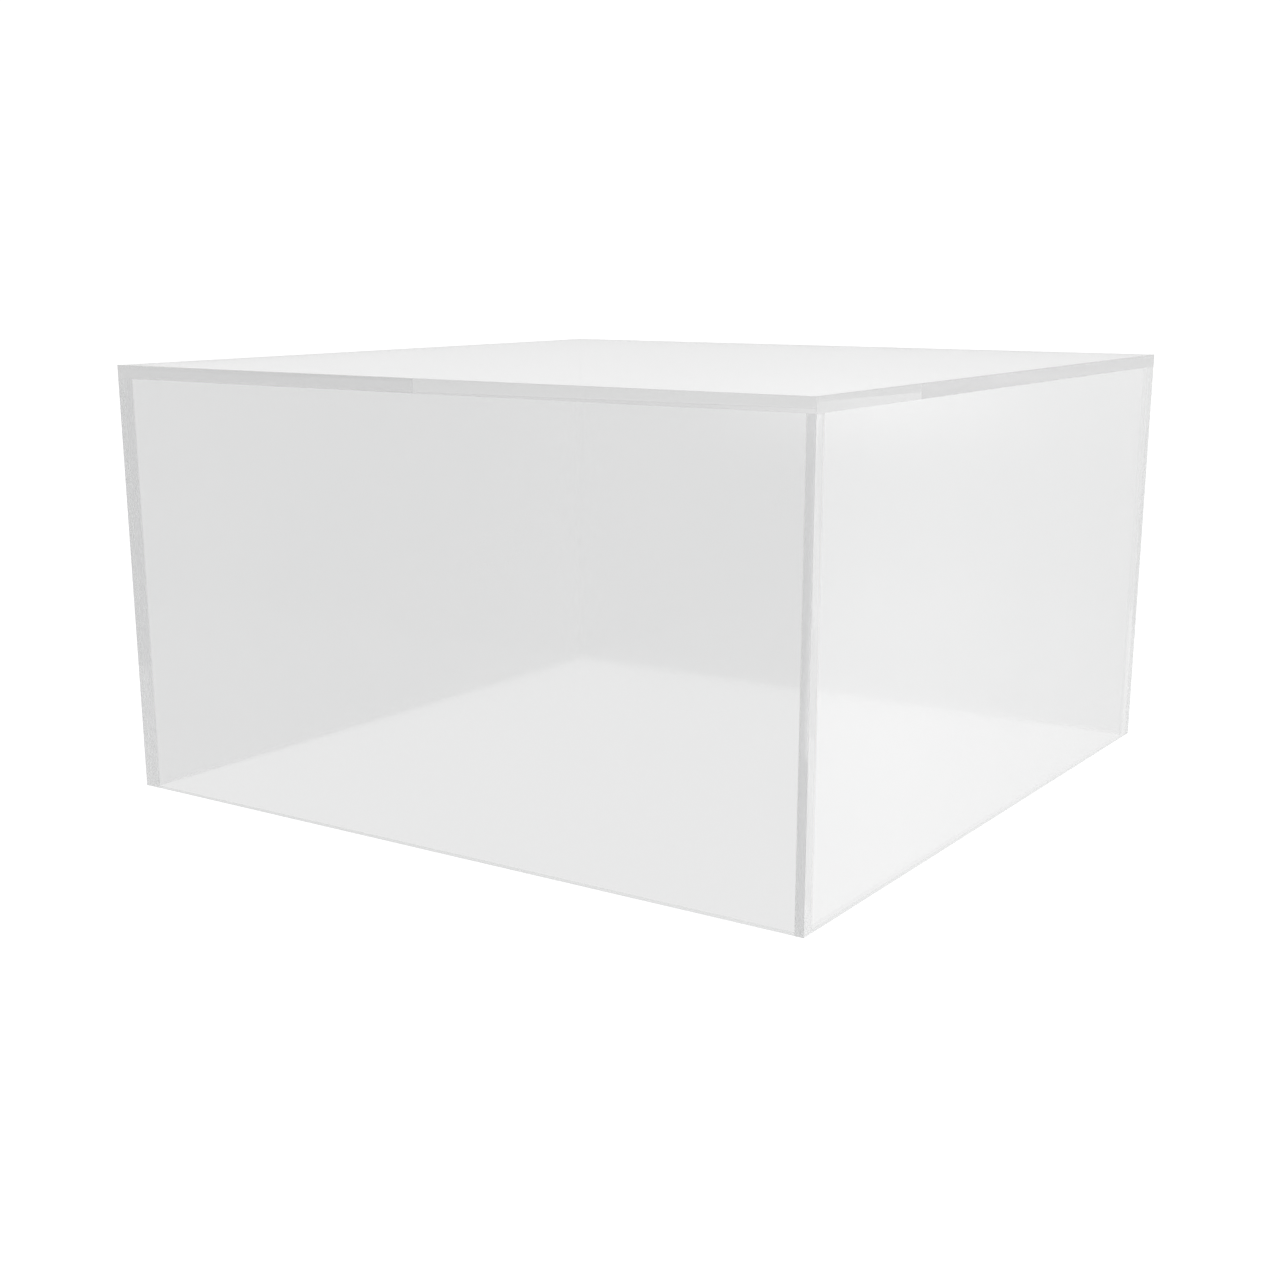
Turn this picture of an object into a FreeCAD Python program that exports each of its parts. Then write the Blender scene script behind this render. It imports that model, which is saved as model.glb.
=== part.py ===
import FreeCAD, Part
import os

# Five-sided display cover in clear acrylic sheet, open at the bottom.
# Origin at the centre of the footprint, on the surface that the cover stands on.
# +Z is up and the front panel faces -Y. All sizes are in millimetres.

# Driving sizes
outer_width = 300.0  # along X, over the side panels
outer_depth = 300.0  # along Y, over the front and back panels
outer_height = 166.0  # from the standing surface to the top face
wall_sheet = 5.0  # thickness of the sheet that the four walls are cut from
top_sheet = 5.0  # thickness of the sheet that the top is cut from
edge_break = 0.05  # how far in from each outer edge its two faces are taken off by polishing

# The panels are solvent-welded, so welded faces meet with no gap: the top lies on all four
# walls, and the side panels stand between the front and back panels.
wall_height = outer_height - top_sheet
side_length = outer_depth - 2 * wall_sheet
left_x = -outer_width / 2
front_y = -outer_depth / 2


def block(x, y, z, along_x, along_y, along_z):
    # a rectangular solid with its lowest corner at x, y, z
    return Part.makeBox(along_x, along_y, along_z, FreeCAD.Vector(x, y, z))


def outer_form():
    # the whole cover's outside as one solid, with all of its outer edges broken
    solid = block(left_x, front_y, 0, outer_width, outer_depth, outer_height)
    return solid.makeChamfer(edge_break, solid.Edges)


def top_panel():
    return block(left_x, front_y, wall_height, outer_width, outer_depth, top_sheet)


def long_wall(y):
    # a front or back panel: the full width of the cover
    return block(left_x, y, 0, outer_width, wall_sheet, wall_height)


def side_wall(x):
    # a left or right panel: it stands between the front and back panels
    return block(x, front_y + wall_sheet, 0, wall_sheet, side_length, wall_height)


def polished(blank, outside):
    # a sheet blank with its share of the cover's broken edges
    panel = blank.common(outside)
    return panel.Solids[0]


blanks = {
    "top_panel": top_panel(),
    "front_panel": long_wall(front_y),
    "back_panel": long_wall(front_y + outer_depth - wall_sheet),
    "left_panel": side_wall(left_x),
    "right_panel": side_wall(left_x + outer_width - wall_sheet),
}

os.makedirs("parts", exist_ok=True)
outside = outer_form()
for name, blank in blanks.items():
    panel = polished(blank, outside)
    panel.exportStep(f"parts/{name}.step")
    print(f"{name}: {panel.Volume / 1000:.2f} cm3, valid {panel.isValid()}")
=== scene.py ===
import bmesh
import bpy
import math
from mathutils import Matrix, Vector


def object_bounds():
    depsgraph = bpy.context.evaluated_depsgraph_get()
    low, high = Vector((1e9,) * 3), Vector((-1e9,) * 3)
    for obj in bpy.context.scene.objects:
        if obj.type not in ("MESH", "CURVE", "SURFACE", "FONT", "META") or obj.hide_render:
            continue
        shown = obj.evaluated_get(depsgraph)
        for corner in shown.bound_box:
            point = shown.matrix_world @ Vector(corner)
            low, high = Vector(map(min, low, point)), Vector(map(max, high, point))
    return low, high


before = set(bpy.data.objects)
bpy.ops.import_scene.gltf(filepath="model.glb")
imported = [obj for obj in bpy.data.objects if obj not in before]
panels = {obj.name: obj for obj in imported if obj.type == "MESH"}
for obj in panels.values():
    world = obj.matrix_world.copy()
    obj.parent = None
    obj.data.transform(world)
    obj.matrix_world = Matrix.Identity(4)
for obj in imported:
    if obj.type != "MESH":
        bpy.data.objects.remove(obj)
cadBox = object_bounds()
millimetre = 0.001
print("cover loaded:", ", ".join(sorted(panels)))


class Value:
    # a socket that takes part in Python sums, each of which adds a Math node

    def __init__(self, nodes, socket):
        self.nodes = nodes
        self.socket = socket

    def math(self, operation, first, second=0.0):
        return self.nodes.add("ShaderNodeMath", {"operation": operation}, {0: first, 1: second})

    def __add__(self, other):
        return self.math("ADD", self, other)

    def __radd__(self, other):
        return self.math("ADD", other, self)

    def __sub__(self, other):
        return self.math("SUBTRACT", self, other)

    def __rsub__(self, other):
        return self.math("SUBTRACT", other, self)

    def __mul__(self, other):
        return self.math("MULTIPLY", self, other)

    def __rmul__(self, other):
        return self.math("MULTIPLY", other, self)

    def __rpow__(self, other):
        return self.math("POWER", other, self)

    def __gt__(self, other):
        return self.math("GREATER_THAN", self, other)

    def __abs__(self):
        return self.math("ABSOLUTE", self)


class Nodes:
    # one material's or world's node tree

    def __init__(self, owner):
        owner.use_nodes = True
        self.tree = owner.node_tree
        self.tree.nodes.clear()

    def add(self, kind, settings=None, sockets=None, output=0):
        node = self.tree.nodes.new(kind)
        for key, setting in (settings or {}).items():
            setattr(node, key, setting)
        for key, value in (sockets or {}).items():
            if isinstance(value, Value):
                self.tree.links.new(value.socket, node.inputs[key])
            else:
                node.inputs[key].default_value = value
        return Value(self, node.outputs[output]) if node.outputs else None

    def along(self, vector, axis):
        return self.add("ShaderNodeVectorMath", {"operation": "DOT_PRODUCT"}, {0: vector, 1: axis}, "Value")

    def mixColours(self, share, first, second):
        # a Mix node takes its two colours in sockets 6 and 7 and gives their mix from output 2
        colours = {0: share, 6: (*first, 1.0), 7: (*second, 1.0)}
        return self.add("ShaderNodeMix", {"data_type": "RGBA"}, colours, 2)


# clear cast acrylic: hazy to look through, smooth within, with its finish on the outside
acrylic = {
    "tint": (0.905, 0.905, 0.905),
    "tintShift": (0.895, 0.898, 0.899),  # what the tint drifts to from place to place
    "ior": 1.49,
    "cloudScale": 30.0,  # clouds to the metre, in haze and tint
    "cloudDepth": 0.3,  # how much the haze changes between them
    "rippleScale": 22.0,
    "ripple": 0.004,  # in mm, the casting's gentle waves
    "scratchSize": (4.0, 260.0, 35.0),  # how clouds are stretched into scratches
    "scratchTurn": (0.4, 0.9, 0.6),
    "scratchHaze": 0.03,
    "scratchFineness": 0.985,  # nearer 1, thinner scratches
    "scratchSparseness": 0.62,  # and fewer patches of them
    "markScale": 700.0,  # polishing marks to the metre along an edge
    "markRun": 40.0,  # and across the sheet, where they run on
    "edgeHaze": 0.02,
    "arrisHaze": 0.45,  # the broken corners are matt
    "flatness": 0.9,  # how squarely a face points along an axis to count as flat
    "sameCorner": 0.001,  # in mm, how near two corners are to be one
    "weldGap": 0.03,  # in mm, how far corners are drawn in, for a hairline where sheets meet
}

# the way through each sheet, the haze on its faces, and how fast it takes up light, per metre,
# which is partly painted shade: the one acrylic is made darker or lighter sheet by sheet for the tone of
# its edges
sheets = {
    "top_panel": {"across": (0, 0, 1), "haze": 0.02, "absorptionAndPaintedShade": 0.65},
    "front_panel": {"across": (0, 1, 0), "haze": 0.12, "absorptionAndPaintedShade": 0.3},
    "back_panel": {"across": (0, 1, 0), "haze": 0.12, "absorptionAndPaintedShade": 0.3},
    "left_panel": {"across": (1, 0, 0), "haze": 0.12, "absorptionAndPaintedShade": 0.09},
    "right_panel": {"across": (1, 0, 0), "haze": 0.12, "absorptionAndPaintedShade": 0.3},
}


def cloudNoise(nodes, place, scale, detail=2.0):
    return nodes.add("ShaderNodeTexNoise", {}, {"Vector": place, "Scale": scale, "Detail": detail})


def fineScratches(nodes, place):
    # a few hairlines, where a stretched noise crosses its middle
    along = nodes.add("ShaderNodeMapping", {}, {
        "Vector": place,
        "Rotation": acrylic["scratchTurn"],
        "Scale": acrylic["scratchSize"],
    })
    line = 1 - abs(cloudNoise(nodes, along, 1.0) - 0.5) * 2
    sparse = cloudNoise(nodes, place, acrylic["cloudScale"]) > acrylic["scratchSparseness"]
    return (line > acrylic["scratchFineness"]) * sparse


def edgeMarks(nodes, place, across):
    scale = [acrylic["markRun"] if way else acrylic["markScale"] for way in across]
    run = nodes.add("ShaderNodeMapping", {}, {"Vector": place, "Scale": scale})
    return cloudNoise(nodes, run, 1.0, 1.0)


def clearAcrylic(name, sheet):
    material = bpy.data.materials.new(name)
    nodes = Nodes(material)
    place = nodes.add("ShaderNodeTexCoord", output="Object")
    normal = nodes.add("ShaderNodeNewGeometry", output="Normal")
    # the finish is on the faces as light meets them from outside, and within they are smooth
    outside = 1 - nodes.add("ShaderNodeNewGeometry", output="Backfacing")
    axes = ((1, 0, 0), (0, 1, 0), (0, 0, 1))
    flats = [abs(nodes.along(normal, axis)) > acrylic["flatness"] for axis in axes]
    broad = abs(nodes.along(normal, sheet["across"])) > acrylic["flatness"]
    arris = 1 - (flats[0] + flats[1] + flats[2])
    edge = 1 - broad - arris
    cloud = cloudNoise(nodes, place, acrylic["cloudScale"])
    marks = edgeMarks(nodes, place, sheet["across"])
    scratches = fineScratches(nodes, place)

    faceHaze = (cloud - 0.5) * (sheet["haze"] * acrylic["cloudDepth"]) + sheet["haze"]
    faceHaze = scratches * acrylic["scratchHaze"] + faceHaze
    edgeHaze = marks * acrylic["edgeHaze"]
    roughness = outside * (broad * faceHaze + edge * edgeHaze + arris * acrylic["arrisHaze"])

    ripple = cloudNoise(nodes, place, acrylic["rippleScale"], 0.0)
    height = outside * broad * ripple * acrylic["ripple"]
    surface = nodes.add("ShaderNodeBump", {}, {"Height": height, "Distance": millimetre})

    shader = nodes.add("ShaderNodeBsdfPrincipled", {}, {
        "Base Color": nodes.mixColours(cloud, acrylic["tint"], acrylic["tintShift"]),
        "Transmission Weight": 1.0,
        "IOR": acrylic["ior"],
        "Roughness": roughness,
        "Normal": surface,
    })
    # the absorption is partly painted shade, its density set sheet by sheet to darken or lighten that
    # sheet's edges
    volume = nodes.add("ShaderNodeVolumeAbsorption", {}, {
        "Color": (0.0, 0.0, 0.0, 1.0),
        "Density": sheet["absorptionAndPaintedShade"],
    })
    nodes.add("ShaderNodeOutputMaterial", {}, {"Surface": shader, "Volume": volume})
    return material


def finishPanel(panel, sheet):
    panel.data.materials.clear()
    panel.data.materials.append(clearAcrylic(panel.name + "_acrylic", sheet))
    weld = panel.modifiers.new("joinTriangles", "WELD")
    weld.merge_threshold = acrylic["sameCorner"] * millimetre
    shrink = panel.modifiers.new("weldGap", "DISPLACE")
    shrink.direction = "NORMAL"
    shrink.mid_level = 0.0
    shrink.strength = -acrylic["weldGap"] * millimetre


for name, sheet in sheets.items():
    finishPanel(panels[name], sheet)
print("acrylic finished on", len(sheets), "panels")


studio = {
    "floorRadius": 30.0,
    "floorSides": 96,
    "floorDrop": 0.2,  # in mm, how far under the walls it lies
    "bounces": 128,  # enough for light to run from end to end of a sheet
    "shown": 1.1,  # brightness of floor and backdrop to the eye
    "below": 0.90,  # light on the acrylic from below the horizon
    "horizon": 0.766,  # from the horizon
    "above": 0.96,  # and from above it
    "fadeHeight": 0.075,  # how high the horizon's dimmer light reaches
    # soft patches: degrees round from +X, half width, degrees up, half height, light added
    "patches": [
        (62.0, 7.0, -13.0, 16.0, 0.52),
        (72.0, 12.0, -10.0, 14.0, 0.1),
        (66.0, 12.0, 0.0, 4.0, 0.25),
        (49.0, 9.0, -8.0, 20.0, -0.12),
        (116.5, 4.0, -3.9, 1.2, 0.17),
        (130.0, 12.0, 13.0, 5.0, -0.14),
    ],
}


def studioFloor():
    mesh = bmesh.new()
    bmesh.ops.create_circle(
        mesh, cap_ends=True, segments=studio["floorSides"], radius=studio["floorRadius"]
    )
    height = cadBox[0][2] - studio["floorDrop"] * millimetre
    bmesh.ops.translate(mesh, verts=mesh.verts, vec=(0, 0, height))
    data = bpy.data.meshes.new("floor")
    mesh.to_mesh(data)
    mesh.free()
    material = bpy.data.materials.new("paleFloor")
    nodes = Nodes(material)
    glow = nodes.add("ShaderNodeEmission", {}, {"Color": (1, 1, 1, 1), "Strength": studio["shown"]})
    nodes.add("ShaderNodeOutputMaterial", {}, {"Surface": glow})
    data.materials.append(material)
    floor = bpy.data.objects.new("floor", data)
    # only the camera sees the floor, and what shows through the acrylic is the studio's light
    floor.visible_diffuse = False
    floor.visible_glossy = False
    floor.visible_transmission = False
    bpy.context.scene.collection.objects.link(floor)


def studioLight():
    world = bpy.data.worlds.new("studio")
    bpy.context.scene.world = world
    nodes = Nodes(world)
    direct = nodes.add("ShaderNodeLightPath", output="Is Camera Ray")
    way = nodes.add("ShaderNodeTexCoord", output="Generated")
    height = nodes.along(way, (0, 0, 1))
    turn = nodes.add("ShaderNodeMath", {"operation": "ARCTAN2"}, {
        0: nodes.along(way, (0, 1, 0)),
        1: nodes.along(way, (1, 0, 0)),
    }) * (180 / math.pi)
    above = nodes.add("ShaderNodeMapRange", {}, {
        "Value": height,
        "From Max": studio["fadeHeight"],
        "To Min": studio["horizon"],
        "To Max": studio["above"],
    })
    lit = (height > 0) * (above - studio["below"]) + studio["below"]
    for middle, width, rise, tall, added in studio["patches"]:
        aside = (turn - middle) * (1 / width)
        upward = (height - math.sin(math.radians(rise))) * (1 / math.sin(math.radians(tall)))
        lit = math.e ** (-1 * (aside * aside + upward * upward)) * added + lit
    strength = direct * (studio["shown"] - lit) + lit
    shine = nodes.add("ShaderNodeBackground", {}, {"Color": (1, 1, 1, 1), "Strength": strength})
    nodes.add("ShaderNodeOutputWorld", {}, {"Surface": shine})


studioFloor()
studioLight()
print("studio set")


view = {
    "place": (0.39477, -0.60585, 0.20223),
    "turn": 33.93,  # degrees to the right of straight on
    "pitch": 14.206,  # degrees down
    "lens": 49.73,
    "sensor": 36.0,
    "shift": (0.0014, 0.0577),
    "nearest": 0.01,  # in metres, and what is nearer isn't shown
}


def addCamera():
    data = bpy.data.cameras.new("camera")
    data.lens = view["lens"]
    data.sensor_width = view["sensor"]
    data.shift_x, data.shift_y = view["shift"]
    data.clip_start = view["nearest"]
    camera = bpy.data.objects.new("camera", data)
    camera.location = view["place"]
    camera.rotation_euler = (math.radians(90 - view["pitch"]), 0, math.radians(view["turn"]))
    bpy.context.scene.collection.objects.link(camera)
    bpy.context.scene.camera = camera


addCamera()
scene = bpy.context.scene
scene.view_settings.view_transform = "Standard"
scene.cycles.max_bounces = studio["bounces"]
scene.cycles.transmission_bounces = studio["bounces"]
scene.cycles.glossy_bounces = studio["bounces"]
print("camera placed")
